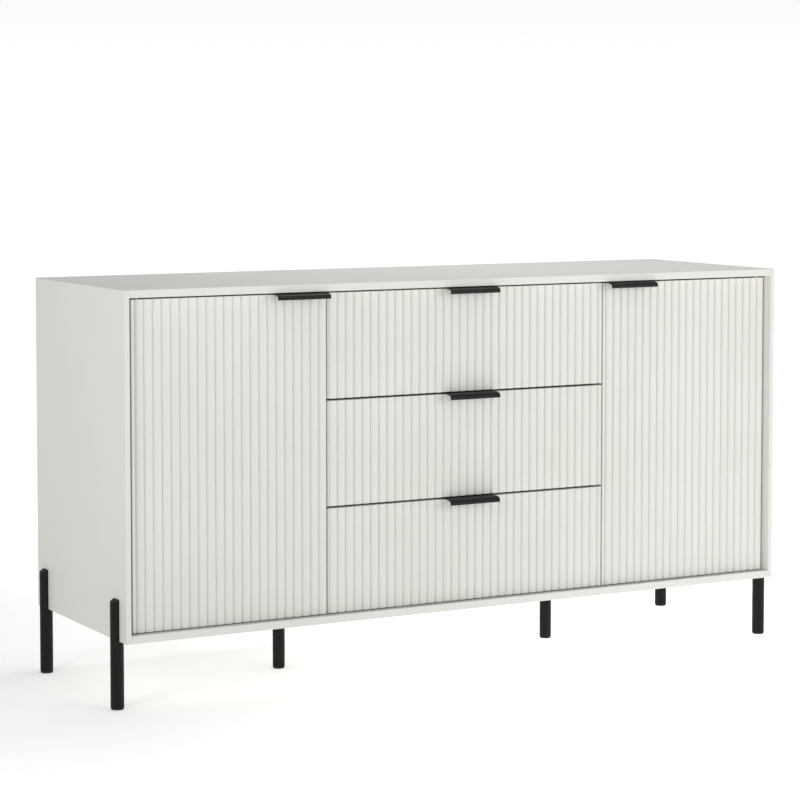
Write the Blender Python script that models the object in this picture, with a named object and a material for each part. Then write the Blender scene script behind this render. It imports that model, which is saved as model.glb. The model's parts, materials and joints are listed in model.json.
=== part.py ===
"""Sideboard buffet: a mitred carcass on six round steel legs, two fluted doors and three fluted drawers.

Metres, +Z up. The front faces -Y. The origin is on the floor, under the middle of the whole object's box.
"""

import math

import bmesh
import bpy
from mathutils import Matrix, Vector

for item in list(bpy.data.objects):
    bpy.data.objects.remove(item, do_unlink=True)

# ---------------------------------------------------------------- driving dimensions

WIDTH = 1.500  # outer faces of the side panels
DEPTH = 0.463  # front edge to rear edge of the carcass
BODY_HEIGHT = 0.666
LEG_DROP = 0.131  # floor to the underside of the carcass
TOP_BOARD = 0.015  # thickness of the top and the bottom panel
SIDE_BOARD = 0.016
SIDE_LIP = 0.010  # flat front edge of a side panel; the rest is bevelled back
BOARD = 0.016  # partitions and shelves
BACK_BOARD = 0.005
BACK_SETBACK = 0.008
FIT = 0.0003  # gap left between two pieces that touch
OVERRUN = 0.005  # how far a drilling tool reaches past the face it enters

RECESS = 0.0138  # the fronts stand this far behind the carcass edge
FRONT_THICK = 0.016
DOOR_WIDTH = 0.4095
DRAWER_WIDTH = 0.6372
GAP_SIDE = 0.0031
GAP_BOTTOM = 0.0018
GAP_FRONTS = 0.004  # between two drawer fronts
FRONT_HEIGHT = 0.2075  # one drawer front
FRONT_COUNT = 3

FLUTE_PITCH = 0.01836
FLUTE_DEPTH = 0.0036
FLUTE_POWER = 4.2  # how flat the crown of a rib is
FLUTE_STEPS = 8  # points along one rib
DOOR_FIRST_GROOVE = 0.0079
DRAWER_FIRST_GROOVE = 0.0038

CORNER_LEG_RADIUS = 0.013
CORNER_LEG_RISE = 0.080  # height of the half-round part above the underside
CORNER_LEG_BEVEL = 0.0065
CORNER_LEG_FRONT = 0.047  # leg centre behind the front edge
CORNER_LEG_REAR = 0.045
MIDDLE_LEG_RADIUS = 0.0125
PLATE_RADIUS = 0.024
PLATE_THICK = 0.003
ROUND_SIDES = 32

HANDLE_LENGTH = 0.114
HANDLE_INSET = 0.0035  # from the door's free edge
HANDLE_SHEET = 0.0016
HANDLE_REACH = 0.0285  # from the crown of the flutes to the front of the lip
HANDLE_DROP = 0.0115  # from the top of the plate to the bottom of the lip
HANDLE_BEND_DEPTH = 0.018  # the lip starts as a quarter of an ellipse
HANDLE_BEND_HEIGHT = 0.007
HANDLE_BEND_STEPS = 6
HANDLE_FLANGE = 0.014

PIN_RADIUS = 0.0025
PIN_INSET = 0.014  # from the door's hinge edge
PIN_SINK = 0.010  # into the top or the bottom panel
BUSH_RADIUS = 0.004
BUSH_LENGTH = 0.012
BUSH_BORE = 0.0026
BUSH_FLOOR = 0.0015
PIN_END_PLAY = 0.0005  # between a pin's end and the floor of its bush

BOX_BOARD = 0.012
BOX_HEIGHT = 0.150
BOX_LENGTH = 0.400
BOX_BASE = 0.004
BOX_LIFT = 0.022  # box underside above the lower edge of its front
BOX_BASE_LIFT = 0.010
RUNNER_SPACE = 0.0127
RUNNER_LENGTH = 0.400
RUNNER_HEIGHT = 0.035
RUNNER_SHEET = 0.0012
RUNNER_LIP = 0.0090
RUNNER_INNER_HEIGHT = 0.026
RUNNER_INNER_LIP = 0.0075
RUNNER_LIFT = 0.060  # runner's middle above the lower edge of the front
RUNNER_SETBACK = 0.002  # cabinet member behind the partition's front edge
RUNNER_INNER_SETBACK = 0.0015  # drawer member behind the front end of the drawer's side
PARTITION_FRONT = 0.0345  # partition's front edge behind the carcass edge
SHELF_FRONT = 0.055

# ---------------------------------------------------------------- derived places

FRONT_FACE = RECESS - HANDLE_REACH  # lip front measured from the carcass edge, negative is proud of it
FRONT_Y = -(DEPTH + FRONT_FACE) / 2
REAR_Y = FRONT_Y + DEPTH
HALF = WIDTH / 2
INNER = HALF - SIDE_BOARD
BASE_Z = LEG_DROP
FLOOR_Z = BASE_Z + TOP_BOARD
TOP_Z = BASE_Z + BODY_HEIGHT
CEILING_Z = TOP_Z - TOP_BOARD
BACK_Y = REAR_Y - BACK_SETBACK - BACK_BOARD
FRONTS_Z = FLOOR_Z + GAP_BOTTOM
DOOR_HEIGHT = FRONT_COUNT * FRONT_HEIGHT + (FRONT_COUNT - 1) * GAP_FRONTS
CROWN_Y = FRONT_Y + RECESS
DOOR_BACK_Y = CROWN_Y + FRONT_THICK
DOOR_FREE_X = INNER - GAP_SIDE - DOOR_WIDTH
PARTITION_X = (DOOR_FREE_X + DRAWER_WIDTH / 2) / 2
BAY = PARTITION_X - BOARD / 2  # half the clear width of the drawer bay
PIN_X = INNER - GAP_SIDE - PIN_INSET
PIN_Y = CROWN_Y + FRONT_THICK / 2
DRAWER_NAMES = ("bottom", "middle", "top")


# ---------------------------------------------------------------- materials


def linear(channel):
    """One sRGB channel, 0 to 255, as the linear value that a shader takes."""
    value = channel / 255
    return value / 12.92 if value <= 0.04045 else ((value + 0.055) / 1.055) ** 2.4


def material(name, colour, roughness, metallic=0.0):
    made = bpy.data.materials.new(name)
    made.use_nodes = True
    shader = made.node_tree.nodes["Principled BSDF"]
    shader.inputs["Base Color"].default_value = [linear(c) for c in colour] + [1.0]
    shader.inputs["Roughness"].default_value = roughness
    shader.inputs["Metallic"].default_value = metallic
    return made


LACQUER = material("warm_white_lacquer", (236, 235, 228), 0.42)
MELAMINE = material("white_melamine", (238, 237, 232), 0.5)
HARDBOARD = material("white_hardboard", (232, 231, 226), 0.6)
BLACK_STEEL = material("black_powder_coat", (38, 36, 33), 0.5)
BLACK_ALUMINIUM = material("black_aluminium", (32, 31, 30), 0.35, 0.9)
ZINC = material("zinc_plated_steel", (190, 192, 195), 0.3, 1.0)
NYLON = material("white_nylon", (225, 225, 220), 0.45)


# ---------------------------------------------------------------- mesh helpers


def finish(name, mesh_data, look, place=(0, 0, 0), parent=None, smooth=False):
    """Makes the named object of a bmesh whose points are measured from its place in the world."""
    bmesh.ops.recalc_face_normals(mesh_data, faces=mesh_data.faces)
    mesh = bpy.data.meshes.new(name)
    mesh_data.to_mesh(mesh)
    mesh_data.free()
    if smooth:
        mesh.shade_smooth()
        mesh.set_sharp_from_angle(angle=math.radians(35))
    mesh.materials.append(look)
    made = bpy.data.objects.new(name, mesh)
    bpy.context.collection.objects.link(made)
    made.location = place
    if parent:
        made.parent = parent
        made.location = Vector(place) - parent.location
    return made


def panel(name, low, high, look, parent=None):
    """A square-edged board between two corners, with its origin at its middle."""
    low, high = Vector(low), Vector(high)
    board = bmesh.new()
    bmesh.ops.create_cube(board, size=1.0)
    bmesh.ops.scale(board, vec=high - low, verts=board.verts)
    return finish(name, board, look, (low + high) / 2, parent)


def extrusion(name, outline, length, look, place, turn=None, parent=None, smooth=False):
    """Extrudes an XY outline up its Z axis by length; turn lays the result in another direction."""
    solid = bmesh.new()
    face = solid.faces.new([solid.verts.new((x, y, 0)) for x, y in outline])
    grown = bmesh.ops.extrude_face_region(solid, geom=[face])
    lifted = [v for v in grown["geom"] if isinstance(v, bmesh.types.BMVert)]
    bmesh.ops.translate(solid, vec=(0, 0, length), verts=lifted)
    if turn:
        bmesh.ops.transform(solid, matrix=turn, verts=solid.verts)
    return finish(name, solid, look, place, parent, smooth)


def cylinder(name, radius, length, look, place, parent=None, sides=ROUND_SIDES):
    """A round bar standing on its place."""
    bar = bmesh.new()
    lift = Matrix.Translation((0, 0, length / 2))
    bmesh.ops.create_cone(
        bar, cap_ends=True, segments=sides, radius1=radius, radius2=radius, depth=length, matrix=lift
    )
    return finish(name, bar, look, place, parent, smooth=True)


def cut(target, cutter):
    """Takes the cutter's space out of the target and hides the cutter."""
    cutter.hide_render = True
    cutter.display_type = "WIRE"
    boolean = target.modifiers.new("cut_" + cutter.name, "BOOLEAN")
    boolean.operation = "DIFFERENCE"
    boolean.solver = "EXACT"
    boolean.object = cutter


def join(target, piece):
    """Welds the piece onto the target and hides the piece."""
    piece.hide_render = True
    piece.display_type = "WIRE"
    boolean = target.modifiers.new("join_" + piece.name, "BOOLEAN")
    boolean.operation = "UNION"
    boolean.solver = "EXACT"
    boolean.object = piece


def frame_at(name, place):
    empty = bpy.data.objects.new(name, None)
    bpy.context.collection.objects.link(empty)
    empty.location = place
    return empty


# ---------------------------------------------------------------- carcass


def mitred_board(name, outline, low_z, high_z, lean, look):
    """A board standing on an XY outline whose two ends lean by so much height per metre of x."""
    solid = bmesh.new()
    rings = []
    for height, way in ((low_z, 1), (high_z, -1)):
        rings.append([solid.verts.new((x, y, height + way * lean * abs(HALF - abs(x)))) for x, y in outline])
    solid.faces.new(rings[0])
    solid.faces.new(rings[1])
    for k in range(len(outline)):
        after = (k + 1) % len(outline)
        solid.faces.new((rings[0][k], rings[0][after], rings[1][after], rings[1][k]))
    return finish(name, solid, look)


def make_side(name, side):
    """side is -1 for the left panel and 1 for the right one. The inner front edge is bevelled, except in the
    mitres, where the panel is as wide as the boards it meets."""
    outline = [(side * x, y) for x, y in ((HALF, FRONT_Y), (INNER, FRONT_Y), (INNER, REAR_Y), (HALF, REAR_Y))]
    mitre_gap = FIT * math.sqrt(2)
    ends = (BASE_Z + mitre_gap, TOP_Z - mitre_gap)
    board = mitred_board(name, outline, *ends, TOP_BOARD / SIDE_BOARD, LACQUER)
    run_x, run_y = (SIDE_BOARD - SIDE_LIP) / 2, RECESS / 2
    outer, inner = HALF - SIDE_LIP + run_x, INNER - run_x
    front_y, back_y = FRONT_Y - run_y, CROWN_Y + run_y
    wedge = ((side * outer, front_y), (side * inner, back_y), (side * inner, front_y))
    cut(board, extrusion(name + "_bevel", wedge, CEILING_Z - FLOOR_Z, LACQUER, (0, 0, FLOOR_Z)))
    return board


def make_level(name, outer_z, inner_z):
    """The top or the bottom panel, mitred to meet the sides."""
    outline = ((-HALF, outer_z), (HALF, outer_z), (INNER, inner_z), (-INNER, inner_z))
    turn = Matrix.Rotation(math.radians(90), 4, "X")
    return extrusion(name, outline, DEPTH, LACQUER, (0, REAR_Y, 0), turn)


def pin_hole(board, name, side, low_z):
    length = PIN_SINK + FIT + OVERRUN
    cut(board, cylinder(name, PIN_RADIUS + FIT, length, ZINC, (side * PIN_X, PIN_Y, low_z)))


top_panel = make_level("top_panel", TOP_Z, CEILING_Z)
bottom_panel = make_level("bottom_panel", BASE_Z, FLOOR_Z)
for side_name, side in (("left", -1), ("right", 1)):
    make_side("side_panel_" + side_name, side)
    pin_hole(top_panel, "top_pin_hole_" + side_name, side, CEILING_Z - OVERRUN)
    pin_hole(bottom_panel, "bottom_pin_hole_" + side_name, side, FLOOR_Z - PIN_SINK - FIT)
    partition_low = (side * PARTITION_X - BOARD / 2, FRONT_Y + PARTITION_FRONT, FLOOR_Z + FIT)
    partition_high = (side * PARTITION_X + BOARD / 2, BACK_Y - FIT, CEILING_Z - FIT)
    panel("partition_" + side_name, partition_low, partition_high, MELAMINE)
    shelf_x = sorted((side * (PARTITION_X + BOARD / 2 + FIT), side * (INNER - FIT)))
    shelf_z = (FLOOR_Z + CEILING_Z) / 2 - BOARD / 2
    shelf_low = (shelf_x[0], FRONT_Y + SHELF_FRONT, shelf_z)
    shelf_high = (shelf_x[1], BACK_Y - FIT, shelf_z + BOARD)
    panel("shelf_" + side_name, shelf_low, shelf_high, MELAMINE)
back_low = (-INNER + FIT, BACK_Y, FLOOR_Z + FIT)
back_high = (INNER - FIT, BACK_Y + BACK_BOARD, CEILING_Z - FIT)
panel("back_panel", back_low, back_high, HARDBOARD)


# ---------------------------------------------------------------- legs


def make_corner_leg(name, side, y):
    """A round bar under the side panel's outer face; above the underside only its outer half goes on."""
    leg = cylinder(name, CORNER_LEG_RADIUS, LEG_DROP + CORNER_LEG_RISE, BLACK_STEEL, (side * HALF, y, 0))
    reach = 2 * CORNER_LEG_RADIUS
    notch_x = sorted((side * (HALF + FIT), side * (HALF - reach)))
    notch_low = (notch_x[0], y - reach, BASE_Z - FIT)
    notch_high = (notch_x[1], y + reach, TOP_Z)
    cut(leg, panel(name + "_notch", notch_low, notch_high, BLACK_STEEL))
    tip = LEG_DROP + CORNER_LEG_RISE
    low_tip, above = tip - 2 * CORNER_LEG_BEVEL, tip + reach
    wedge = ((0, tip), (side * reach, low_tip), (side * reach, above), (0, above))
    turn = Matrix.Rotation(math.radians(90), 4, "X")
    place = (side * HALF, y + reach, 0)
    cut(leg, extrusion(name + "_bevel", wedge, 2 * reach, BLACK_STEEL, place, turn))


def make_middle_leg(name, x):
    leg = cylinder(name, MIDDLE_LEG_RADIUS, BASE_Z - FIT, BLACK_STEEL, (x, FRONT_Y + DEPTH / 2, 0))
    plate_place = (x, FRONT_Y + DEPTH / 2, BASE_Z - FIT - PLATE_THICK)
    join(leg, cylinder(name + "_plate", PLATE_RADIUS, PLATE_THICK, BLACK_STEEL, plate_place))


for side_name, side in (("left", -1), ("right", 1)):
    make_corner_leg("leg_front_" + side_name, side, FRONT_Y + CORNER_LEG_FRONT)
    make_corner_leg("leg_rear_" + side_name, side, REAR_Y - CORNER_LEG_REAR)
    make_middle_leg("leg_middle_" + side_name, side * PARTITION_X)


# ---------------------------------------------------------------- fluted fronts


def flute_point(x, first_groove):
    """A point of the fluted face: its depth behind the crown follows a power curve across each rib."""
    across = ((x - first_groove) / FLUTE_PITCH) % 1
    return x, FLUTE_DEPTH * abs(2 * across - 1) ** FLUTE_POWER


def fluted_outline(width, first_groove):
    """Plan of a front: ribs along the face at y = 0, square edges, and the flat back at y = FRONT_THICK."""
    places = [0.0]
    rib = -1
    while first_groove + rib * FLUTE_PITCH < width:
        for step in range(FLUTE_STEPS):
            across = (1 - math.cos(math.pi * step / FLUTE_STEPS)) / 2
            x = first_groove + (rib + across) * FLUTE_PITCH
            if FIT < x < width - FIT:
                places.append(x)
        rib += 1
    face = [flute_point(x, first_groove) for x in places + [width]]
    return face + [(width, FRONT_THICK), (0.0, FRONT_THICK)]


def make_front(name, left_x, low_z, width, height, first_groove, parent):
    outline = fluted_outline(width, first_groove)
    return extrusion(name, outline, height, LACQUER, (left_x, CROWN_Y, low_z), parent=parent, smooth=True)


def make_handle(name, middle_x, top_z, parent):
    """A bent strip: a flange behind the front, a plate over its top edge and a lip that curls down."""
    lip_y = -HANDLE_REACH
    plate = FIT + HANDLE_SHEET
    rear = FRONT_THICK + FIT
    outline = [(rear + HANDLE_SHEET, -HANDLE_FLANGE), (rear + HANDLE_SHEET, plate)]
    for inset, way in ((0.0, 1), (HANDLE_SHEET, -1)):
        arc = []
        for step in range(HANDLE_BEND_STEPS + 1):
            angle = math.radians(90 + 90 * step / HANDLE_BEND_STEPS)
            y = lip_y + HANDLE_BEND_DEPTH + (HANDLE_BEND_DEPTH - inset) * math.cos(angle)
            z = plate - HANDLE_BEND_HEIGHT + (HANDLE_BEND_HEIGHT - inset) * math.sin(angle)
            arc.append((y, z))
        lip = [(arc[-1][0], plate - HANDLE_DROP)]
        outline += (arc + lip)[::way]
    outline += [(rear, FIT), (rear, -HANDLE_FLANGE)]
    turn = Matrix(((0, 0, 1, 0), (1, 0, 0, 0), (0, 1, 0, 0), (0, 0, 0, 1)))
    place = (middle_x - HANDLE_LENGTH / 2, CROWN_Y, top_z)
    return extrusion(name, outline, HANDLE_LENGTH, BLACK_ALUMINIUM, place, turn, parent, smooth=True)


def make_bush(name, side, low_z, bore_low_z, parent):
    bush = cylinder(name, BUSH_RADIUS, BUSH_LENGTH, NYLON, (side * PIN_X, PIN_Y, low_z), parent)
    bore = cylinder(name + "_bore", BUSH_BORE, BUSH_LENGTH, NYLON, (side * PIN_X, PIN_Y, bore_low_z), parent)
    cut(bush, bore)


def make_door(side_name, side):
    hinge = frame_at("hinge_" + side_name, (side * PIN_X, PIN_Y, FRONTS_Z))
    left_x = side * (DOOR_FREE_X + DOOR_WIDTH / 2) - DOOR_WIDTH / 2
    name = "door_" + side_name
    door = make_front(name, left_x, FRONTS_Z, DOOR_WIDTH, DOOR_HEIGHT, DOOR_FIRST_GROOVE, hinge)
    door_top = FRONTS_Z + DOOR_HEIGHT
    socket = BUSH_RADIUS + FIT
    depth = BUSH_LENGTH + FIT + OVERRUN
    for end, low_z in (("lower", FRONTS_Z - OVERRUN), ("upper", door_top - BUSH_LENGTH - FIT)):
        place = (side * PIN_X, PIN_Y, low_z)
        cut(door, cylinder(f"{name}_{end}_socket", socket, depth, NYLON, place, hinge))
    make_bush(f"pivot_bush_{side_name}_lower", side, FRONTS_Z, FRONTS_Z - BUSH_FLOOR, hinge)
    upper = door_top - BUSH_LENGTH
    make_bush(f"pivot_bush_{side_name}_upper", side, upper, upper + BUSH_FLOOR, hinge)
    pin_reach = BUSH_LENGTH - BUSH_FLOOR - PIN_END_PLAY
    for end, low_z, high_z in (
        ("lower", FLOOR_Z - PIN_SINK, FRONTS_Z + pin_reach),
        ("upper", door_top - pin_reach, CEILING_Z + PIN_SINK),
    ):
        place = (side * PIN_X, PIN_Y, low_z)
        cylinder(f"pivot_pin_{side_name}_{end}", PIN_RADIUS, high_z - low_z, ZINC, place)
    handle_x = side * (DOOR_FREE_X + HANDLE_INSET + HANDLE_LENGTH / 2)
    make_handle("handle_door_" + side_name, handle_x, door_top, hinge)


for side_name, side in (("left", -1), ("right", 1)):
    make_door(side_name, side)


# ---------------------------------------------------------------- drawers


def make_channel(name, web_x, toward, height, lip, start_y, middle_z, parent=None):
    """A rolled C section along Y: its web at web_x, its lips pointing along toward."""
    sheet = RUNNER_SHEET
    half = height / 2
    outline = [
        (0, -half),
        (toward * lip, -half),
        (toward * lip, -half + sheet),
        (toward * sheet, -half + sheet),
        (toward * sheet, half - sheet),
        (toward * lip, half - sheet),
        (toward * lip, half),
        (0, half),
    ]
    turn = Matrix.Rotation(math.radians(90), 4, "X")
    place = (web_x, start_y + RUNNER_LENGTH, middle_z)
    return extrusion(name, outline, RUNNER_LENGTH, ZINC, place, turn, parent)


def make_drawer(name, low_z):
    slide = frame_at("slide_" + name, (0, CROWN_Y, low_z))
    half = DRAWER_WIDTH / 2
    make_front(f"drawer_{name}_front", -half, low_z, DRAWER_WIDTH, FRONT_HEIGHT, DRAWER_FIRST_GROOVE, slide)
    make_handle(f"handle_drawer_{name}", 0.0, low_z + FRONT_HEIGHT, slide)
    outer = BAY - RUNNER_SPACE
    inner = outer - BOX_BOARD
    near = DOOR_BACK_Y + FIT
    far = near + BOX_LENGTH
    base = low_z + BOX_LIFT
    runner_z = low_z + RUNNER_LIFT
    for side_name, side in (("left", -1), ("right", 1)):
        wall = sorted((side * inner, side * outer))
        wall_low = (wall[0], near, base)
        panel(f"drawer_{name}_side_{side_name}", wall_low, (wall[1], far, base + BOX_HEIGHT), MELAMINE, slide)
        tag = f"{name}_{side_name}"
        fixed = (side * (BAY - FIT), -side, RUNNER_HEIGHT, RUNNER_LIP)
        fixed_start = FRONT_Y + PARTITION_FRONT + RUNNER_SETBACK
        make_channel("cabinet_runner_" + tag, *fixed, fixed_start, runner_z)
        sliding = (side * (outer + FIT), side, RUNNER_INNER_HEIGHT, RUNNER_INNER_LIP)
        make_channel("drawer_runner_" + tag, *sliding, near + RUNNER_INNER_SETBACK, runner_z, slide)
    box_back_low = (-inner + FIT, far - BOX_BOARD, base + BOX_BASE_LIFT + BOX_BASE + FIT)
    panel(f"drawer_{name}_back", box_back_low, (inner - FIT, far, base + BOX_HEIGHT), MELAMINE, slide)
    base_low = (-inner + FIT, near, base + BOX_BASE_LIFT)
    base_high = (inner - FIT, far, base + BOX_BASE_LIFT + BOX_BASE)
    panel(f"drawer_{name}_base", base_low, base_high, HARDBOARD, slide)


for level, name in enumerate(DRAWER_NAMES):
    make_drawer(name, FRONTS_Z + level * (FRONT_HEIGHT + GAP_FRONTS))
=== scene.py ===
# %% [markdown]
# # A fluted sideboard
# A low cabinet has a carcass of four boards mitred at the corners, six round steel legs, a fluted door at
# each end and three fluted drawers between them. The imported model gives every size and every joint. This
# script gives the same pieces their finished surfaces: eased edges, finer flutes, hardware and real finishes.

# %% Load the frame
import json
import math

import bmesh
import bpy
from mathutils import Matrix, Vector


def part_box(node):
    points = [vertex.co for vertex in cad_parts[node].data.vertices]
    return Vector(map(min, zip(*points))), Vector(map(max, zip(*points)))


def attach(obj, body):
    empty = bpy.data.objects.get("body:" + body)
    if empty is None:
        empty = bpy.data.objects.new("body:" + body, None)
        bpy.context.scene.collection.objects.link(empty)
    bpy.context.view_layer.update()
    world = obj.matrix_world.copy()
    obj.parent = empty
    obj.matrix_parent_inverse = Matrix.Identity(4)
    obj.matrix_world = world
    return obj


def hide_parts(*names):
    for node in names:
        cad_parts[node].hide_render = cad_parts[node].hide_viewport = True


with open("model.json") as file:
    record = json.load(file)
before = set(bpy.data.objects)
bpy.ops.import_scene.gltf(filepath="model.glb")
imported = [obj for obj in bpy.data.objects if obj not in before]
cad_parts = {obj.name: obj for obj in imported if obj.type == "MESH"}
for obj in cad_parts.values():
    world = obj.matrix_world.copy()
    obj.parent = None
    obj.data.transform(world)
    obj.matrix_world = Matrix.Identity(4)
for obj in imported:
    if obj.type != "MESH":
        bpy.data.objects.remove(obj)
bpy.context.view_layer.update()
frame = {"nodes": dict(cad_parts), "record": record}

MM = 0.001
GAP = 0.3 * MM  # between two pieces that stand against each other
SAME_POINT = 0.001 * MM

# %% [markdown]
# ## Camera
# A long lens far from the cabinet keeps its edges nearly parallel. The camera stands to the left, a little
# above the top board. It looks down by less than four degrees and shifts its sensor for the rest of the drop,
# because a shift keeps upright edges upright and a tilt lets them lean.

# %% Camera
EYE = Vector((-2.568, -4.593, 1.100))
HEADING = math.radians(28.81)
TILT = math.radians(3.63)
LENS = 114.2
SENSOR_SHIFT = -0.14

camera_data = bpy.data.cameras.new("studio_camera")
camera_data.lens = LENS
camera_data.shift_y = SENSOR_SHIFT
camera = bpy.data.objects.new("studio_camera", camera_data)
camera.location = EYE
camera.rotation_euler = (math.radians(90) - TILT, 0, -HEADING)
bpy.context.scene.collection.objects.link(camera)
bpy.context.scene.camera = camera

# %% [markdown]
# ## One helper for every material
# A material is a small graph of nodes. `add` makes one node, sets its options and fills or links its inputs,
# so that each recipe below reads as a list of what is joined to what. Colours are written as the hex values
# that a paint chart gives, and `paint` turns them into the linear light values that a shader works in.

# %% Node helper and colours


def paint(code, alpha=1.0):
    """A hex colour such as '#F0EFE8' as linear red, green, blue and alpha."""
    channels = [int(code[place : place + 2], 16) / 255 for place in (1, 3, 5)]
    linear = [c / 12.92 if c <= 0.04045 else ((c + 0.055) / 1.055) ** 2.4 for c in channels]
    return (*linear, alpha)


def add(tree, kind, options=None, inputs=None):
    """Makes a node. An input is a plain value, or another node's output to link from."""
    node = tree.nodes.new(kind)
    for name, value in (options or {}).items():
        setattr(node, name, value)
    for name, value in (inputs or {}).items():
        if isinstance(value, bpy.types.NodeSocket):
            tree.links.new(value, node.inputs[name])
        else:
            node.inputs[name].default_value = value
    return node


def new_material(name):
    """An empty material with its output node and the object's own coordinates, in metres."""
    look = bpy.data.materials.new(name)
    look.use_nodes = True
    tree = look.node_tree
    tree.nodes.clear()
    place = add(tree, "ShaderNodeTexCoord").outputs["Object"]
    output = add(tree, "ShaderNodeOutputMaterial")
    return look, tree, place, output


def close(tree, shader, output):
    """Links the finished shader to the material's output."""
    tree.links.new(shader.outputs[0], output.inputs["Surface"])


# %% [markdown]
# ## Satin lacquer on MDF
# Doors, drawer fronts and the outer boards are MDF, sprayed with a warm white satin lacquer. Sprayed paint
# flows out into very low waves, which painters call orange peel, and it is never one exact colour: large
# panels drift a little in tone. Real waves are 1 to 2 mm long, too fine to see from this far, so they are
# drawn 5 mm long and kept very low. A lacquer is a clear resin with an IOR near 1.5.

# %% Satin lacquer
ORANGE_PEEL = 5 * MM
TONE_DRIFT = 300 * MM
lacquer, tree, place, output = new_material("satin_lacquer_on_mdf")
drift = add(tree, "ShaderNodeTexNoise", None, {"Vector": place, "Scale": 1 / TONE_DRIFT, "Detail": 2.0})
tone = add(tree, "ShaderNodeValToRGB", None, {"Fac": drift.outputs["Fac"]})
tone.color_ramp.elements[0].position = 0.3
tone.color_ramp.elements[0].color = paint("#DCDBD5")
tone.color_ramp.elements[1].position = 0.7
tone.color_ramp.elements[1].color = paint("#E0DFDA")
peel = add(tree, "ShaderNodeTexNoise", None, {"Vector": place, "Scale": 1 / ORANGE_PEEL, "Detail": 1.0})
sheen = add(
    tree, "ShaderNodeMapRange", None, {"Value": peel.outputs["Fac"], "To Min": 0.38, "To Max": 0.46}
)
relief = add(
    tree, "ShaderNodeBump", None, {"Strength": 0.15, "Distance": 0.03 * MM, "Height": peel.outputs["Fac"]}
)
shader = add(
    tree,
    "ShaderNodeBsdfPrincipled",
    None,
    {
        "Base Color": tone.outputs["Color"],
        "Roughness": sheen.outputs["Result"],
        "Normal": relief.outputs["Normal"],
        "IOR": 1.5,
        "Specular IOR Level": 0.4,
    },
)
close(tree, shader, output)
print("made", lacquer.name)

# %% [markdown]
# ## Melamine and hardboard
# Hidden boards are chipboard faced with melamine paper pressed against a pearl-textured plate, which leaves
# a fine even pebble of about a millimetre. The back and the drawer bases are thin hardboard, painted on one
# side, duller and slightly mottled by its fibres.

# %% Melamine
PEARL = 2.5 * MM
melamine, tree, place, output = new_material("pearl_melamine_on_chipboard")
pearl = add(tree, "ShaderNodeTexVoronoi", {"feature": "SMOOTH_F1"}, {"Vector": place, "Scale": 1 / PEARL})
mottle = add(tree, "ShaderNodeTexNoise", None, {"Vector": place, "Scale": 1 / (90 * MM), "Detail": 3.0})
tone = add(tree, "ShaderNodeValToRGB", None, {"Fac": mottle.outputs["Fac"]})
tone.color_ramp.elements[0].color = paint("#E3E2DB")
tone.color_ramp.elements[1].color = paint("#EBEAE4")
relief = add(
    tree,
    "ShaderNodeBump",
    None,
    {"Strength": 0.25, "Distance": 0.05 * MM, "Height": pearl.outputs["Distance"]},
)
shader = add(
    tree,
    "ShaderNodeBsdfPrincipled",
    None,
    {"Base Color": tone.outputs["Color"], "Roughness": 0.5, "Normal": relief.outputs["Normal"], "IOR": 1.5},
)
close(tree, shader, output)

# %% Hardboard
FIBRE = 6 * MM
hardboard, tree, place, output = new_material("painted_hardboard")
fibres = add(tree, "ShaderNodeTexNoise", None, {"Vector": place, "Scale": 1 / FIBRE, "Detail": 4.0})
tone = add(tree, "ShaderNodeValToRGB", None, {"Fac": fibres.outputs["Fac"]})
tone.color_ramp.elements[0].color = paint("#D6D4CB")
tone.color_ramp.elements[1].color = paint("#E4E2DA")
relief = add(
    tree, "ShaderNodeBump", None, {"Strength": 0.3, "Distance": 0.08 * MM, "Height": fibres.outputs["Fac"]}
)
shader = add(
    tree,
    "ShaderNodeBsdfPrincipled",
    None,
    {"Base Color": tone.outputs["Color"], "Roughness": 0.68, "Normal": relief.outputs["Normal"], "IOR": 1.5},
)
close(tree, shader, output)
print("made", melamine.name, "and", hardboard.name)

# %% [markdown]
# ## Black metals
# The legs are steel bar with a fine-textured black powder coat: baked polyester grains, so a broken, dull
# shine. The pulls are aluminium strip, brushed along its length and then anodised black. The dye fills the
# oxide layer and hides most of the metal, so only a little of its shine comes through.

# %% Powder coat
GRAIN = 1.6 * MM
powder_coat, tree, place, output = new_material("black_powder_coat_on_steel")
grains = add(tree, "ShaderNodeTexNoise", None, {"Vector": place, "Scale": 1 / GRAIN, "Detail": 2.0})
tone = add(tree, "ShaderNodeValToRGB", None, {"Fac": grains.outputs["Fac"]})
tone.color_ramp.elements[0].color = paint("#0D0B08")
tone.color_ramp.elements[1].color = paint("#171410")
sheen = add(
    tree, "ShaderNodeMapRange", None, {"Value": grains.outputs["Fac"], "To Min": 0.42, "To Max": 0.6}
)
relief = add(
    tree, "ShaderNodeBump", None, {"Strength": 0.35, "Distance": 0.12 * MM, "Height": grains.outputs["Fac"]}
)
shader = add(
    tree,
    "ShaderNodeBsdfPrincipled",
    None,
    {
        "Base Color": tone.outputs["Color"],
        "Roughness": sheen.outputs["Result"],
        "Normal": relief.outputs["Normal"],
        "IOR": 1.45,
        "Specular IOR Level": 0.25,
    },
)
close(tree, shader, output)

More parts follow.
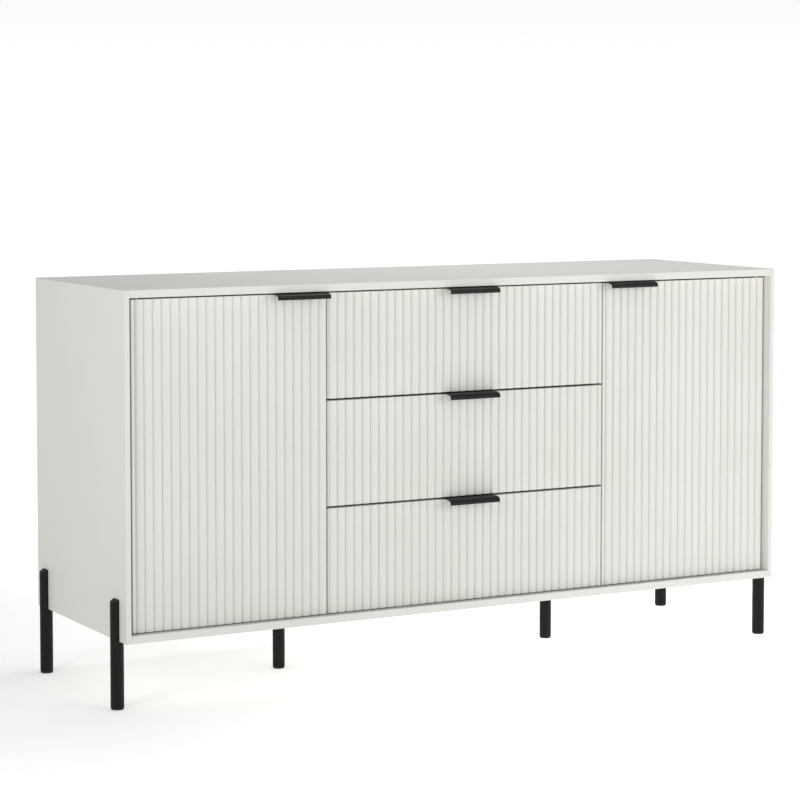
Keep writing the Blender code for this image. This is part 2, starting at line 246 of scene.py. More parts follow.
# %% Black anodised aluminium
BRUSH_LINE = 0.5 * MM
BRUSH_STROKE = 60 * MM
anodised, tree, place, output = new_material("black_anodised_aluminium")
stretch = add(
    tree,
    "ShaderNodeVectorMath",
    {"operation": "MULTIPLY"},
    {0: place, 1: (1 / BRUSH_STROKE, 1 / BRUSH_LINE, 1 / BRUSH_LINE)},
)
brushed = add(
    tree, "ShaderNodeTexNoise", None, {"Vector": stretch.outputs["Vector"], "Scale": 1.0, "Detail": 2.0}
)
tone = add(tree, "ShaderNodeValToRGB", None, {"Fac": brushed.outputs["Fac"]})
tone.color_ramp.elements[0].color = paint("#0B0A09")
tone.color_ramp.elements[1].color = paint("#151412")
sheen = add(
    tree, "ShaderNodeMapRange", None, {"Value": brushed.outputs["Fac"], "To Min": 0.5, "To Max": 0.62}
)
relief = add(
    tree, "ShaderNodeBump", None, {"Strength": 0.2, "Distance": 0.03 * MM, "Height": brushed.outputs["Fac"]}
)
shader = add(
    tree,
    "ShaderNodeBsdfPrincipled",
    None,
    {
        "Base Color": tone.outputs["Color"],
        "Roughness": sheen.outputs["Result"],
        "Normal": relief.outputs["Normal"],
        "Metallic": 0.2,
        "Specular IOR Level": 0.35,
    },
)
close(tree, shader, output)
print("made", powder_coat.name, "and", anodised.name)

# %% [markdown]
# ## Hardware finishes
# Runners, pins, pegs and screws are steel with a bright zinc plate: a cool grey with a faint cloudy patch
# here and there. Bushes, cam covers and door pads are moulded white nylon. The pads under the legs are black.

# %% Zinc-plated steel
CLOUD = 14 * MM
zinc, tree, place, output = new_material("zinc_plated_steel")
cloud = add(tree, "ShaderNodeTexNoise", None, {"Vector": place, "Scale": 1 / CLOUD, "Detail": 3.0})
tone = add(tree, "ShaderNodeValToRGB", None, {"Fac": cloud.outputs["Fac"]})
tone.color_ramp.elements[0].color = paint("#B3B7BB")
tone.color_ramp.elements[1].color = paint("#CBCDCE")
sheen = add(tree, "ShaderNodeMapRange", None, {"Value": cloud.outputs["Fac"], "To Min": 0.24, "To Max": 0.4})
shader = add(
    tree,
    "ShaderNodeBsdfPrincipled",
    None,
    {"Base Color": tone.outputs["Color"], "Roughness": sheen.outputs["Result"], "Metallic": 1.0},
)
close(tree, shader, output)

# %% Moulded nylon, white and black
SPARK = 1.5 * MM
mouldings = {}
for name, dark, light, sheen_level in (
    ("white_nylon_moulding", "#D9D8D2", "#E6E5DF", 0.42),
    ("black_nylon_pad", "#161514", "#22211F", 0.6),
):
    look, tree, place, output = new_material(name)
    spark = add(tree, "ShaderNodeTexNoise", None, {"Vector": place, "Scale": 1 / SPARK, "Detail": 2.0})
    tone = add(tree, "ShaderNodeValToRGB", None, {"Fac": spark.outputs["Fac"]})
    tone.color_ramp.elements[0].color = paint(dark)
    tone.color_ramp.elements[1].color = paint(light)
    relief = add(
        tree, "ShaderNodeBump", None, {"Strength": 0.2, "Distance": 0.04 * MM, "Height": spark.outputs["Fac"]}
    )
    shader = add(
        tree,
        "ShaderNodeBsdfPrincipled",
        None,
        {
            "Base Color": tone.outputs["Color"],
            "Roughness": sheen_level,
            "Normal": relief.outputs["Normal"],
            "IOR": 1.53,
        },
    )
    close(tree, shader, output)
    mouldings[name] = look
white_nylon = mouldings["white_nylon_moulding"]
black_nylon = mouldings["black_nylon_pad"]

print("made", zinc.name, "and", sorted(mouldings))

# %% [markdown]
# ## Making pieces
# Every piece is built as a bmesh, Blender's editable mesh, and then published: it becomes an object, gets
# its finish and rides on the body that it belongs to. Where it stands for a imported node, that node is hidden.
# Faces are shaded smooth except across real corners, and weighted normals keep the big flat faces flat.

# %% Publish a piece
CORNER_ANGLE = math.radians(35)
pieces_made = []


def stamp(name, shape):
    """A mesh from a bmesh, which is used up."""
    mesh = bpy.data.meshes.new(name)
    shape.to_mesh(mesh)
    shape.free()
    return mesh


def publish(name, shape, look, body, stands_for=()):
    """Turns a bmesh in the cabinet's own coordinates into a finished piece that rides on a body."""
    bmesh.ops.recalc_face_normals(shape, faces=shape.faces)
    mesh = stamp(name, shape)
    mesh.shade_smooth()
    mesh.set_sharp_from_angle(angle=CORNER_ANGLE)
    mesh.materials.append(look)
    made = bpy.data.objects.new(name, mesh)
    bpy.context.scene.collection.objects.link(made)
    made.modifiers.new("even_shading", "WEIGHTED_NORMAL").keep_sharp = True
    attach(made, body)
    if stands_for:
        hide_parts(*stands_for)
    pieces_made.append(name)


def moved(shape, matrix):
    """The same bmesh, moved by a matrix."""
    bmesh.ops.transform(shape, matrix=matrix, verts=shape.verts)
    return shape


def body_of(node):
    """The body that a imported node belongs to."""
    groups = frame["record"]["behaviour"]["bodies"]
    return next(body for body, members in groups.items() if node in members)


# %% [markdown]
# ### Eased boards
# No real board has a razor edge: sanding and lacquer leave a radius of about half a millimetre, and that
# radius is what catches the light along an edge. `eased` takes a packed board, joins its triangles back into
# flat faces and bevels its edges. The mitred ends of the outer boards stay sharp, because they meet.

# %% Ease the edges of a packed board
FLAT_ANGLE = math.radians(0.5)
EASED_ANGLE = math.radians(30)
PARALLEL = 0.99  # cosine between an edge and the wanted direction


def eased(node, radius, along=None, segments=3):
    """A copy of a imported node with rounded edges; along limits them to edges in one direction."""
    shape = bmesh.new()
    shape.from_mesh(frame["nodes"][node].data)
    bmesh.ops.remove_doubles(shape, verts=shape.verts, dist=SAME_POINT)
    bmesh.ops.dissolve_limit(shape, angle_limit=FLAT_ANGLE, verts=shape.verts, edges=shape.edges)
    sharp = []
    for edge in shape.edges:
        run = (edge.verts[1].co - edge.verts[0].co).normalized()
        if edge.calc_face_angle(0) > EASED_ANGLE and (along is None or abs(run.dot(along)) > PARALLEL):
            sharp.append(edge)
    bmesh.ops.bevel(
        shape, geom=sharp, offset=radius, offset_type="OFFSET", segments=segments, profile=0.5, affect="EDGES"
    )
    return shape


# %% Outer boards
EDGE_RADIUS = 0.7 * MM
X_AXIS, Z_AXIS = Vector((1, 0, 0)), Vector((0, 0, 1))
for node, along in (
    ("top_panel", X_AXIS),
    ("bottom_panel", X_AXIS),
    ("side_panel_left", Z_AXIS),
    ("side_panel_right", Z_AXIS),
):
    publish(node + "_board", eased(node, EDGE_RADIUS, along), lacquer, "carcass", [node])
print("outer boards:", pieces_made)

# %% [markdown]
# ### Hidden boards
# Partitions, shelves and drawer boxes are plain melamine boards. They share one way of being made, so a loop
# goes through them.

# %% Inner boards
INNER_RADIUS = 0.4 * MM
LEVELS = ("bottom", "middle", "top")
SIDES = (("left", -1), ("right", 1))
inner_boards = [f"{kind}_{side}" for kind in ("partition", "shelf") for side, _ in SIDES]
for level in LEVELS:
    inner_boards += [f"drawer_{level}_side_left", f"drawer_{level}_side_right", f"drawer_{level}_back"]
for node in inner_boards:
    publish(node + "_board", eased(node, INNER_RADIUS, segments=2), melamine, body_of(node), [node])
for node in ["back_panel"] + [f"drawer_{level}_base" for level in LEVELS]:
    publish(node + "_sheet", eased(node, INNER_RADIUS, segments=1), hardboard, body_of(node), [node])
print("inner boards:", len(inner_boards) + 1 + len(LEVELS))

# %% [markdown]
# ### Bars with rounded rims
# A fluted front and a metal pull are both one section carried along a straight line. `bar` draws the section
# at several heights; close to each end the section shrinks inwards along a quarter circle, which rounds the
# rim without a boolean or a bevel, whatever the section looks like.

# %% Sections and bars
SHARPEST_MITRE = 0.5  # keeps a corner of a section from shooting inwards


def inward(outline, amount):
    """An anticlockwise outline with each corner moved inwards by amount."""
    result = []
    count = len(outline)
    for k, here in enumerate(outline):
        before = Vector(outline[k - 1])
        after = Vector(outline[(k + 1) % count])
        here = Vector(here)
        arriving = (here - before).normalized()
        leaving = (after - here).normalized()
        inside = Vector((-arriving.y - leaving.y, arriving.x + leaving.x)).normalized()
        mitre = max(inside.dot(Vector((-arriving.y, arriving.x))), SHARPEST_MITRE)
        result.append(here + inside * amount / mitre)
    return result


def bar(outline, length, ease, steps=3):
    """A bar up the Z axis with this section, and both rims rounded by ease."""
    rim = []
    for k in range(steps + 1):
        turn = math.radians(90 * k / steps)
        rim.append((ease * (1 - math.cos(turn)), ease * (1 - math.sin(turn))))
    levels = rim + [(length - height, inset) for height, inset in reversed(rim)]
    shape = bmesh.new()
    loops = []
    for height, inset in levels:
        loops.append([shape.verts.new((*point, height)) for point in inward(outline, inset)])
    for low, high in zip(loops, loops[1:]):
        for k in range(len(low)):
            after = (k + 1) % len(low)
            shape.faces.new((low[k], low[after], high[after], high[k]))
    shape.faces.new(list(reversed(loops[0])))
    shape.faces.new(loops[-1])
    return shape


# %% [markdown]
# ### Fluted fronts
# The ribs are routed side by side into the MDF: each has a wide, gently crowned face that rolls over into a
# narrow V. A power curve gives that shape, with more points near the groove, where it turns fastest. Both
# doors are cut from the same sheet, so their grooves start at the same distance from their left edges.

# %% Fluted section
FLUTE_PITCH = 18.36 * MM
FLUTE_DEPTH = 3.6 * MM
FLUTE_POWER = 4.2
FLUTE_STEPS = 14
FIRST_GROOVE = {"door": 7.9 * MM, "drawer": 3.8 * MM}
FRONT_EDGE = 0.8 * MM
FACE_START = 1.2 * FRONT_EDGE  # the ribs begin here, clear of the eased corner


def flute_depth(x, first_groove):
    """How far the face lies behind the crown of the ribs at x."""
    across = ((x - first_groove) / FLUTE_PITCH) % 1
    return FLUTE_DEPTH * abs(2 * across - 1) ** FLUTE_POWER


def fluted_section(width, thickness, first_groove):
    """Plan of a front: the ribs, two eased corners and the flat back."""
    xs = []
    rib = -1
    while first_groove + rib * FLUTE_PITCH < width:
        for step in range(FLUTE_STEPS):
            across = (1 - math.cos(math.pi * step / FLUTE_STEPS)) / 2
            xs.append(first_groove + (rib + across) * FLUTE_PITCH)
        rib += 1
    face = [(x, flute_depth(x, first_groove)) for x in xs if FACE_START < x < width - FACE_START]
    left_y = flute_depth(FRONT_EDGE, first_groove)
    right_y = flute_depth(width - FRONT_EDGE, first_groove)
    corner = []
    for k in range(3):
        turn = math.radians(45 * k)
        corner.append((FRONT_EDGE * (1 - math.sin(turn)), FRONT_EDGE * (1 - math.cos(turn))))
    left = [(x, left_y + y) for x, y in reversed(corner)]
    right = [(width - x, right_y + y) for x, y in corner]
    return left + face + right + [(width, thickness), (0.0, thickness)]


# %% [markdown]
# ### Edge pulls
# Each pull is a bent strip: a flange behind the front, a plate over its top edge and a lip that curls down in
# front, for the fingers. The strip is drawn from the side and carried along X.

# %% Edge pulls
PULL_SHEET = 1.6 * MM
PULL_BEND_DEPTH = 18.0 * MM
PULL_BEND_HEIGHT = 7.0 * MM
PULL_DROP = 11.5 * MM
PULL_EASE = 0.3 * MM
BEND_STEPS = 12
ALONG_X = Matrix(((0, 0, 1, 0), (1, 0, 0, 0), (0, 1, 0, 0), (0, 0, 0, 1)))


def pull_section(low, high):
    """The strip seen from its end, anticlockwise: y to the right and z up."""
    outline = [(high.y, low.z), (high.y, high.z - PULL_EASE), (high.y - PULL_EASE, high.z)]
    middle = Vector((low.y + PULL_BEND_DEPTH, high.z - PULL_BEND_HEIGHT))
    arcs = []
    for inset in (0, PULL_SHEET):
        depth, height = PULL_BEND_DEPTH - inset, PULL_BEND_HEIGHT - inset
        turns = [math.radians(90 + 90 * step / BEND_STEPS) for step in range(BEND_STEPS + 1)]
        arcs.append([(middle.x + depth * math.cos(t), middle.y + height * math.sin(t)) for t in turns])
    tip_z = high.z - PULL_DROP
    tip = [
        (low.y, tip_z + PULL_EASE),
        (low.y + PULL_EASE, tip_z),
        (low.y + PULL_SHEET - PULL_EASE, tip_z),
        (low.y + PULL_SHEET, tip_z + PULL_EASE),
    ]
    rear = high.y - PULL_SHEET
    return outline + arcs[0] + tip + arcs[1][::-1] + [(rear, high.z - PULL_SHEET), (rear, low.z)]


pull_nodes = [f"handle_door_{side}" for side, _ in SIDES] + [f"handle_drawer_{level}" for level in LEVELS]
for node in pull_nodes:
    low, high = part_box(node)
    strip = moved(bar(pull_section(low, high), high.x - low.x, PULL_EASE, 2), ALONG_X)
    publish(node + "_strip", moved(strip, Matrix.Translation((low.x, 0, 0))), anodised, body_of(node), [node])
print("pulls:", len(pull_nodes))

# %% [markdown]
# ### Turned pieces
# Legs, pads, pegs, balls and screw heads are all turned shapes: half a profile spun round an axis. `turned`
# takes the profile as (radius, height) points and joins the rings, with a single point where it meets the
# axis. `carve` takes one shape out of another, and `block` is a plain tool for it.

# %% Spin a profile and carve a shape


def turned(profile, sides=32):
    """A closed turned shape round Z. The profile starts and ends on the axis."""
    shape = bmesh.new()
    rings = []
    for radius, height in profile:
        if radius < SAME_POINT:
            rings.append([shape.verts.new((0, 0, height))])
            continue
        ring = []
        for k in range(sides):
            turn = math.tau * k / sides
            ring.append(shape.verts.new((radius * math.cos(turn), radius * math.sin(turn), height)))
        rings.append(ring)
    for low, high in zip(rings, rings[1:]):
        for k in range(sides):
            after = (k + 1) % sides
            quad = [low[k % len(low)], low[after % len(low)], high[after % len(high)], high[k % len(high)]]
            shape.faces.new([v for step, v in enumerate(quad) if v not in quad[:step]])
    return shape


def carve(shape, tool):
    """The shape with the tool taken out of it by an exact boolean."""
    parts = []
    for part in (shape, tool):
        bmesh.ops.recalc_face_normals(part, faces=part.faces)
        holder = bpy.data.objects.new("carving", stamp("carving", part))
        bpy.context.scene.collection.objects.link(holder)
        parts.append(holder)
    cut = parts[0].modifiers.new("cut", "BOOLEAN")
    cut.operation = "DIFFERENCE"
    cut.object = parts[1]
    result = bmesh.new()
    result.from_object(parts[0], bpy.context.evaluated_depsgraph_get())
    for holder in parts:
        bpy.data.objects.remove(holder)
    return result


def block(low, high):
    """A plain tool for carving."""
    shape = bmesh.new()
    bmesh.ops.create_cube(shape, size=1.0)
    low, high = Vector(low), Vector(high)
    size = Matrix.Diagonal((*(high - low), 1))
    return moved(shape, Matrix.Translation((low + high) / 2) @ size)


# %% [markdown]
# ### Doors and drawer fronts
# A front is a bar with the fluted section. A door also has a round pocket in its lower and in its upper
# edge, with room for the bush that it turns on.

# %% Doors and drawer fronts
POCKET_OVERRUN = 5 * MM


def bush_pocket(side, end):
    """A tool for the pocket of one bush, open at the door's edge."""
    low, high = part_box(f"pivot_bush_{side}_{end}")
    centre, radius = (low + high) / 2, (high.x - low.x) / 2 + GAP
    below, above = (POCKET_OVERRUN, GAP) if end == "lower" else (GAP, POCKET_OVERRUN)
    start, stop = low.z - below, high.z + above
    tool = turned([(0, start), (radius, start), (radius, stop), (0, stop)])
    return moved(tool, Matrix.Translation((centre.x, centre.y, 0)))


for node in [f"door_{side}" for side, _ in SIDES] + [f"drawer_{level}_front" for level in LEVELS]:
    kind, where = node.split("_")[:2]
    low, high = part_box(node)
    width, thickness, height = high - low
    section = fluted_section(width, thickness, FIRST_GROOVE[kind])
    front = moved(bar(section, height, FRONT_EDGE), Matrix.Translation(low))
    if kind == "door":
        for end in ("lower", "upper"):
            front = carve(front, bush_pocket(where, end))
    publish(node + "_fluted", front, lacquer, body_of(node), [node])
    print(node, "has", int((width - FIRST_GROOVE[kind]) / FLUTE_PITCH) + 1, "grooves")

# %% [markdown]
# ### Legs
# A corner leg is a round bar that stands under the outer face of the side board. Above the underside only its
# outer half goes on, flat against the board, and its top slopes away outwards. It is turned first and then
# carved twice: once for the step and once for the slope. The middle legs carry a welded screw plate. Each leg
# stands on a thin nylon pad, which spares the floor.

# %% Corner legs
PAD_HEIGHT = 3 * MM
PAD_INSET = 0.8 * MM
PAD_EASE = 0.6 * MM
LEG_EASE = 0.5 * MM
LEG_SIDES = 64
RIM_EASE = 0.3 * MM
RIM_ANGLE = math.radians(40)
TIP_SLOPE = 0.5
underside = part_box("bottom_panel")[0].z


def leg_pad(name, place_xy, radius):
    """The pad under one leg, set in a little from the leg's rim."""
    rim = radius - PAD_INSET
    profile = [(0, 0), (rim - PAD_EASE, 0), (rim, PAD_EASE), (rim, PAD_HEIGHT), (0, PAD_HEIGHT)]
    pad = moved(turned(profile, 48), Matrix.Translation((*place_xy, 0)))
    publish(name, pad, black_nylon, "carcass")


for side, way in SIDES:
    for end in ("front", "rear"):
        node = f"leg_{end}_{side}"
        low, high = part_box(node)
        radius = (high.y - low.y) / 2
        centre = Vector(((low.x + high.x) / 2, (low.y + high.y) / 2, 0))
        profile = [
            (0, PAD_HEIGHT),
            (radius - LEG_EASE, PAD_HEIGHT),
            (radius, PAD_HEIGHT + LEG_EASE),
            (radius, high.z + radius),
            (0, high.z + radius),
        ]
        start_x, stop_x = sorted((way * GAP, way * -2 * radius))
        step = block((start_x, -2 * radius, underside - GAP), (stop_x, 2 * radius, high.z + 2 * radius))
        post = carve(turned(profile, LEG_SIDES), step)
        slope = block((-4 * radius, -2 * radius, 0), (4 * radius, 2 * radius, 4 * radius))
        lean = Matrix.Rotation(way * math.atan(TIP_SLOPE), 4, "Y")
        post = carve(post, moved(slope, Matrix.Translation((way * GAP, 0, high.z)) @ lean))
        rims = [edge for edge in post.edges if edge.calc_face_angle(0) > RIM_ANGLE]
        bmesh.ops.bevel(post, geom=rims, offset=RIM_EASE, segments=2, profile=0.5, affect="EDGES")
        publish(node + "_bar", moved(post, Matrix.Translation(centre)), powder_coat, "carcass", [node])
        leg_pad(node + "_pad", centre.xy, radius)

# %% Middle legs
WELD = 1.5 * MM
MIDDLE_LEG_RADIUS = 12.5 * MM
PLATE_THICK = 3 * MM
for side, way in SIDES:
    node = f"leg_middle_{side}"
    low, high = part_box(node)
    plate_radius = (high.x - low.x) / 2
    plate_low = high.z - PLATE_THICK
    profile = [
        (0, PAD_HEIGHT),
        (MIDDLE_LEG_RADIUS - LEG_EASE, PAD_HEIGHT),
        (MIDDLE_LEG_RADIUS, PAD_HEIGHT + LEG_EASE),
        (MIDDLE_LEG_RADIUS, plate_low - WELD),
        (MIDDLE_LEG_RADIUS + WELD, plate_low),
        (plate_radius - LEG_EASE, plate_low),
        (plate_radius, plate_low + LEG_EASE),
        (plate_radius, high.z),
        (0, high.z),
    ]
    centre = ((low.x + high.x) / 2, (low.y + high.y) / 2)
    post = moved(turned(profile, LEG_SIDES), Matrix.Translation((*centre, 0)))
    publish(node + "_bar", post, powder_coat, "carcass", [node])
    leg_pad(node + "_pad", centre, MIDDLE_LEG_RADIUS)
print("legs stand", round(underside / MM), "mm under the carcass")

# %% [markdown]
# ## Fasteners
# Screws hold the legs, the runners, the pulls and the back. A pan head with a cross recess is modelled once,
# and every group of screws is a set of copies joined into one piece per body.

# %% One screw head
HEAD_RADIUS = 3.2 * MM
HEAD_HEIGHT = 1.8 * MM
HEAD_STEPS = 4
RECESS_ARM = 0.5 * HEAD_RADIUS
RECESS_HALF = 0.13 * HEAD_RADIUS
RECESS_FLOOR = 0.35 * HEAD_HEIGHT


def screw_head():
    """A pan head standing on the surface, its axis up Z."""
    profile = [(0, 0), (HEAD_RADIUS, 0)]
    for k in range(HEAD_STEPS + 1):
        turn = math.radians(90 * k / HEAD_STEPS)
        flat, straight = 0.45 + 0.55 * math.cos(turn), 0.3 + 0.7 * math.sin(turn)
        profile.append((HEAD_RADIUS * flat, HEAD_HEIGHT * straight))
    profile.append((0, HEAD_HEIGHT))
    head = turned(profile, 24)
    for reach, slim in ((RECESS_ARM, RECESS_HALF), (RECESS_HALF, RECESS_ARM)):
        head = carve(head, block((-reach, -slim, RECESS_FLOOR), (reach, slim, HEAD_HEIGHT * 2)))
    return head


head_mesh = stamp("pan_head", screw_head())


def copies(mesh, places):
    """One bmesh with the mesh repeated at each (point, direction of its axis)."""
    shape = bmesh.new()
    for point, direction in places:
        turn = Vector(direction).to_track_quat("Z", "Y").to_matrix().to_4x4()
        part = bmesh.new()
        part.from_mesh(mesh)
        holder = stamp("part", moved(part, Matrix.Translation(point) @ turn))
        shape.from_mesh(holder)
        bpy.data.meshes.remove(holder)
    return shape


def screws(name, body, places):
    """One piece with a screw head at each place."""
    publish(name, copies(head_mesh, places), zinc, body)


# %% Screws in the back, the legs and the pulls
SPACES_ACROSS = 6
SPACES_UP = 4
FROM_BACK_CORNER = 20 * MM
FROM_BACK_EDGE = 12 * MM
REARWARDS = (0, 1, 0)
back_low, back_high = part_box("back_panel")
back_places = []
for k in range(SPACES_ACROSS + 1):
    span = back_high.x - back_low.x - 2 * FROM_BACK_CORNER
    x = back_low.x + FROM_BACK_CORNER + span * k / SPACES_ACROSS
    for z in (back_low.z + FROM_BACK_EDGE, back_high.z - FROM_BACK_EDGE):
        back_places.append(((x, back_high.y, z), REARWARDS))
for side, way in SIDES:
    low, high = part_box(f"partition_{side}")
    for k in range(1, SPACES_UP):
        z = back_low.z + (back_high.z - back_low.z) * k / SPACES_UP
        back_places.append((((low.x + high.x) / 2, back_high.y, z), REARWARDS))
        back_places.append(((way * (back_high.x - FROM_BACK_EDGE), back_high.y, z), REARWARDS))
screws("back_screws", "carcass", back_places)

LEG_SCREW_HEIGHTS = (30 * MM, 60 * MM)
PLATE_SCREW_CIRCLE = 18.5 * MM
PULL_SCREW_DROP = 2 * MM
leg_places = []
plate_places = []
for side, way in SIDES:
    inner_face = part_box(f"shelf_{side}")[0 if way < 0 else 1].x
    for end in ("front", "rear"):
        low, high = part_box(f"leg_{end}_{side}")
        leg_places += [
            ((inner_face + way * GAP, (low.y + high.y) / 2, underside + height), (-way, 0, 0))
            for height in LEG_SCREW_HEIGHTS
        ]
    low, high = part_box(f"leg_middle_{side}")
    for k in range(3):
        turn = math.tau * k / 3
        x = (low.x + high.x) / 2 + PLATE_SCREW_CIRCLE * math.cos(turn)
        y = (low.y + high.y) / 2 + PLATE_SCREW_CIRCLE * math.sin(turn)
        plate_places.append(((x, y, high.z - PLATE_THICK), (0, 0, -1)))
screws("leg_screws", "carcass", leg_places)
screws("leg_plate_screws", "carcass", plate_places)
for node in pull_nodes:
    low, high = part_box(node)
    inset = (high.x - low.x) / 3 / 2
    z = (low.z + high.z) / 2 - PULL_SCREW_DROP
    places = [((x, high.y, z), REARWARDS) for x in (low.x + inset, high.x - inset)]
    screws(node + "_screws", body_of(node), places)
print("screws in the back:", len(back_places), "in the legs:", len(leg_places) + len(plate_places))

# %% [markdown]
# ## Drawer runners
# A ball-bearing runner is two rolled steel channels, one inside the other, with a row of balls above and a
# row below the inner one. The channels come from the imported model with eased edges. The balls stand near the
# front of the fixed channel, where the two overlap even when the drawer is open.

# %% Runners and balls
CHANNEL_EASE = 0.3 * MM
CHANNEL_SHEET = 1.2 * MM
BALL_RADIUS = 1.7 * MM
BALL_PITCH = 9 * MM
BALL_COUNT = 8
BALL_STEPS = 8
FIRST_BALL = 14 * MM
RUNNER_SCREWS = (40 * MM, 200 * MM, 360 * MM)
ball_profile = []
for k in range(BALL_STEPS + 1):
    turn = math.radians(-90 + 180 * k / BALL_STEPS)
    ball_profile.append((BALL_RADIUS * max(math.cos(turn), 0), BALL_RADIUS * math.sin(turn)))
ball_mesh = stamp("ball", turned(ball_profile, 16))

for level in LEVELS:
    for side, way in SIDES:
        fixed, sliding = f"cabinet_runner_{level}_{side}", f"drawer_runner_{level}_{side}"
        for node in (fixed, sliding):
            publish(node + "_channel", eased(node, CHANNEL_EASE, segments=2), zinc, body_of(node), [node])
        fixed_low, fixed_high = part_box(fixed)
        slide_low, slide_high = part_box(sliding)
        upper_z = (slide_high.z + fixed_high.z - CHANNEL_SHEET) / 2
        lower_z = (slide_low.z + fixed_low.z + CHANNEL_SHEET) / 2
        overlap = sorted((fixed_low.x, fixed_high.x, slide_low.x, slide_high.x))[1:3]
        x, first_y = (overlap[0] + overlap[1]) / 2, fixed_low.y + FIRST_BALL
        centres = [(x, first_y + k * BALL_PITCH, z) for z in (lower_z, upper_z) for k in range(BALL_COUNT)]
        balls = copies(ball_mesh, [(centre, (0, 0, 1)) for centre in centres])
        publish(f"runner_balls_{level}_{side}", balls, zinc, "carcass")
        screw_ys = [fixed_low.y + run for run in RUNNER_SCREWS]
        screw_z = (slide_low.z + slide_high.z) / 2
        web_x = (fixed_low.x if way < 0 else fixed_high.x) - way * CHANNEL_SHEET
        screws(f"{fixed}_screws", "carcass", [((web_x, screw_ys[-1], screw_z), (-way, 0, 0))])
        web_x = (slide_high.x if way < 0 else slide_low.x) + way * CHANNEL_SHEET
        places = [((web_x, y, screw_z), (way, 0, 0)) for y in screw_ys]
        screws(f"{sliding}_screws", body_of(sliding), places)
print("balls in each runner:", 2 * BALL_COUNT)

# %% [markdown]
# ## Hinge pins and bushes
# The doors turn on steel pins that stand in the bottom and top boards and run in nylon bushes in the doors'
# edges. Their ends are chamfered, so that they find each other when the door is hung.

# %% Pins and bushes
PIN_EASE = 0.4 * MM
BUSH_EASE = 0.25 * MM
for side, _ in SIDES:
    for end in ("lower", "upper"):
        pin, bush = f"pivot_pin_{side}_{end}", f"pivot_bush_{side}_{end}"
        publish(pin + "_steel", eased(pin, PIN_EASE, segments=2), zinc, "carcass", [pin])
        publish(bush + "_nylon", eased(bush, BUSH_EASE, segments=2), white_nylon, body_of(bush), [bush])

# %% [markdown]
# ## Small inner parts
# Four steel pegs carry each shelf, each with a collar that stops it at the face of the board. Round covers
# close the cam fittings inside the drawers, and soft pads on the partitions' edges quieten the doors.

# %% Shelf pegs
PEG_DROP = 3.6 * MM
PEG_FROM_END = 50 * MM
peg_profile = [
    (0, 0),
    (2.5 * MM, 0),
    (2.5 * MM, 1 * MM),
    (4.5 * MM, 1 * MM),
    (4.5 * MM, 2.2 * MM),
    (3.4 * MM, 2.8 * MM),
    (3.4 * MM, 9 * MM),
    (0, 9 * MM),
]
peg_mesh = stamp("shelf_peg", turned(peg_profile, 24))
for side, _ in SIDES:
    low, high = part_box(f"shelf_{side}")
    places = []
    for x, direction in ((low.x - GAP, 1), (high.x + GAP, -1)):
        for y in (low.y + PEG_FROM_END, high.y - PEG_FROM_END):
            places.append(((x, y, low.z - PEG_DROP), (direction, 0, 0)))
    publish(f"shelf_pegs_{side}", copies(peg_mesh, places), zinc, "carcass")

# %% Cam covers
COVER_FROM_FRONT = 34 * MM
COVER_FROM_EDGE = 35 * MM
cover_profile = [(0, 0), (8.5 * MM, 0), (8.5 * MM, 0.7 * MM), (7.8 * MM, 1.1 * MM), (0, 1.1 * MM)]
cover_mesh = stamp("cam_cover", turned(cover_profile, 32))
for level in LEVELS:
    places = []
    for side, way in SIDES:
        low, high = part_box(f"drawer_{level}_side_{side}")
        inner_x, y = high.x if way < 0 else low.x, low.y + COVER_FROM_FRONT
        for z in (low.z + COVER_FROM_EDGE, high.z - COVER_FROM_EDGE):
            places.append(((inner_x, y, z), (-way, 0, 0)))
    publish(f"drawer_{level}_cam_covers", copies(cover_mesh, places), white_nylon, f"{level}_drawer")

# %% Door pads
DOME_RADIUS = 3.2 * MM
DOME_FROM_EDGE = 3.5 * MM
DOME_HEIGHTS = (50 * MM, 120 * MM)  # the lower from the partition's foot, the upper from its top
for side, way in SIDES:
    low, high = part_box(f"partition_{side}")
    x = low.x + DOME_FROM_EDGE if way < 0 else high.x - DOME_FROM_EDGE
    thick = low.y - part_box(f"door_{side}")[1].y - GAP
    shoulder = [(DOME_RADIUS, thick * 0.6), (DOME_RADIUS * 0.7, thick)]
    pad_mesh = stamp("door_pad", turned([(0, 0), (DOME_RADIUS, 0), *shoulder, (0, thick)], 24))
    places = [((x, low.y, z), (0, -1, 0)) for z in (low.z + DOME_HEIGHTS[0], high.z - DOME_HEIGHTS[1])]
    publish(f"door_pads_{side}", copies(pad_mesh, places), white_nylon, "carcass")
print("pieces so far:", len(pieces_made))

# %% [markdown]
# ## Studio
# The cabinet stands on a white floor under a white sky that weakens overhead and a little to the left. The
# floor glows faintly, like a lit white sweep, so that it stays whiter than the cabinet and throws light up
# onto its front. Its glow is weaker round a spot beside the left end, which paints a soft shadow on the floor
# there, because that side of the cabinet is the darker one. Three soft boxes add the shape: a weak one at the
# left, a larger one in front at the right, and one overhead.

# %% Floor
FLOOR_REACH = 30.0
# painted shadow: the floor glows least round this spot beside the left end
PAINTED_SHADOW_SPOT = (-1.8, 0.2, 0.0)
floor_mesh = bpy.data.meshes.new("studio_floor")
corners = [(-FLOOR_REACH, -FLOOR_REACH, 0), (FLOOR_REACH, -FLOOR_REACH, 0)]
corners += [(FLOOR_REACH, FLOOR_REACH, 0), (-FLOOR_REACH, FLOOR_REACH, 0)]
floor_mesh.from_pydata(corners, [], [(0, 1, 2, 3)])
floor = bpy.data.objects.new("studio_floor", floor_mesh)
bpy.context.scene.collection.objects.link(floor)
white_floor, tree, place, output = new_material("white_studio_floor")
away = add(tree, "ShaderNodeVectorMath", {"operation": "DISTANCE"}, {0: place, 1: PAINTED_SHADOW_SPOT}).outputs["Value"]
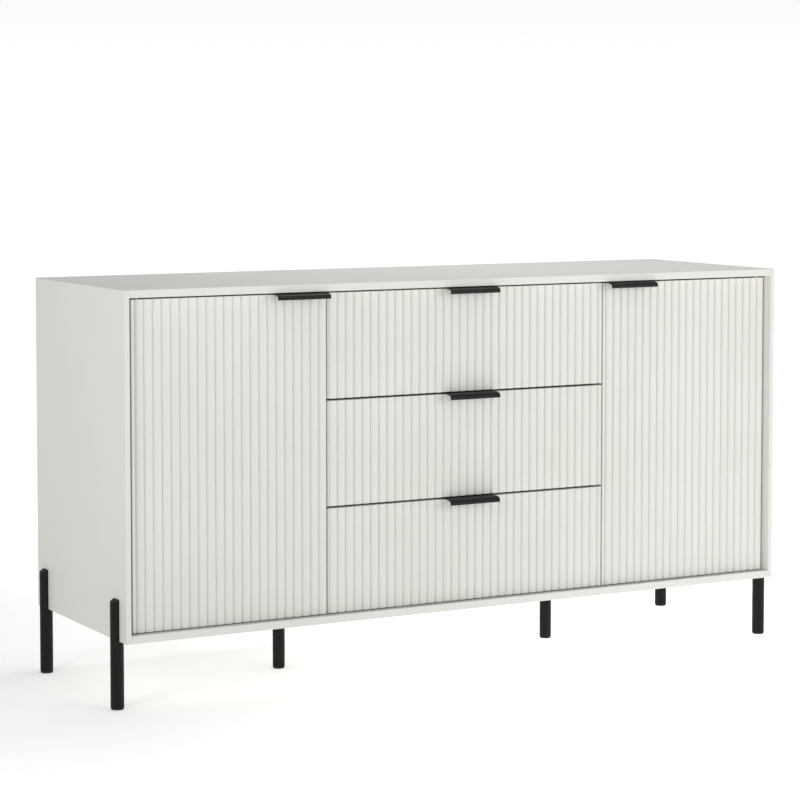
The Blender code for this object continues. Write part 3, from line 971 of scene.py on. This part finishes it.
# painted shadow: the glow rises from 0.35 within a metre of the spot to 0.7 beyond 2.6 m
glow_with_painted_shadow = add(
    tree,
    "ShaderNodeMapRange",
    {"interpolation_type": "SMOOTHSTEP"},
    {"Value": away, "From Min": 1.0, "From Max": 2.6, "To Min": 0.35, "To Max": 0.7},
)
shader = add(
    tree,
    "ShaderNodeBsdfPrincipled",
    None,
    {
        "Base Color": paint("#F4F4F3"),
        "Roughness": 0.9,
        "Specular IOR Level": 0.1,
        "Emission Color": paint("#FFFFFF"),
        "Emission Strength": glow_with_painted_shadow.outputs["Result"],
    },
)
close(tree, shader, output)
floor_mesh.materials.append(white_floor)

# %% Sky and soft light
world = bpy.data.worlds.new("white_studio")
world.use_nodes = True
tree = world.node_tree
tree.nodes.clear()
direction = add(tree, "ShaderNodeTexCoord").outputs["Generated"]
split = add(tree, "ShaderNodeSeparateXYZ", None, {"Vector": direction})
ramp = add(tree, "ShaderNodeValToRGB", None, {"Fac": split.outputs["Z"]})
ramp.color_ramp.elements[0].position = 0.03
ramp.color_ramp.elements[0].color = (1.0, 1.0, 1.0, 1.0)
ramp.color_ramp.elements[1].position = 0.30
ramp.color_ramp.elements[1].color = (0.44, 0.44, 0.44, 1.0)
sideways = add(
    tree,
    "ShaderNodeMapRange",
    {"interpolation_type": "SMOOTHSTEP"},
    {"Value": split.outputs["X"], "From Min": -0.9, "From Max": -0.1, "To Min": 0.72, "To Max": 1.0},
)
sky_inputs = {"Color": ramp.outputs["Color"], "Strength": sideways.outputs["Result"]}
sky = add(tree, "ShaderNodeBackground", None, sky_inputs)
tree.links.new(sky.outputs[0], add(tree, "ShaderNodeOutputWorld").inputs["Surface"])
bpy.context.scene.world = world
bpy.context.scene.view_settings.view_transform = "Standard"


def soft_light(name, where, aim, size, power):
    """A square soft box at one point, turned towards another."""
    data = bpy.data.lights.new(name, "AREA")
    data.size = size
    data.energy = power
    light = bpy.data.objects.new(name, data)
    light.location = where
    light.rotation_euler = (Vector(aim) - Vector(where)).to_track_quat("-Z", "Y").to_euler()
    bpy.context.scene.collection.objects.link(light)


soft_light("left_soft_box", (-2.0, -0.9, 0.95), (-0.76, -0.1, 0.5), 0.5, 5.5)
soft_light("front_soft_box", (1.6, -2.6, 1.2), (0.4, -0.2, 0.45), 0.9, 17)
soft_light("overhead_soft_box", (0.3, 0.3, 2.2), (0.3, 0.0, 0.8), 0.9, 11)
print("studio ready")

# %% [markdown]
# ## Count the pieces
# The script ends by printing how many pieces it has made.

# %% Count of pieces
print("pieces:", len(pieces_made))
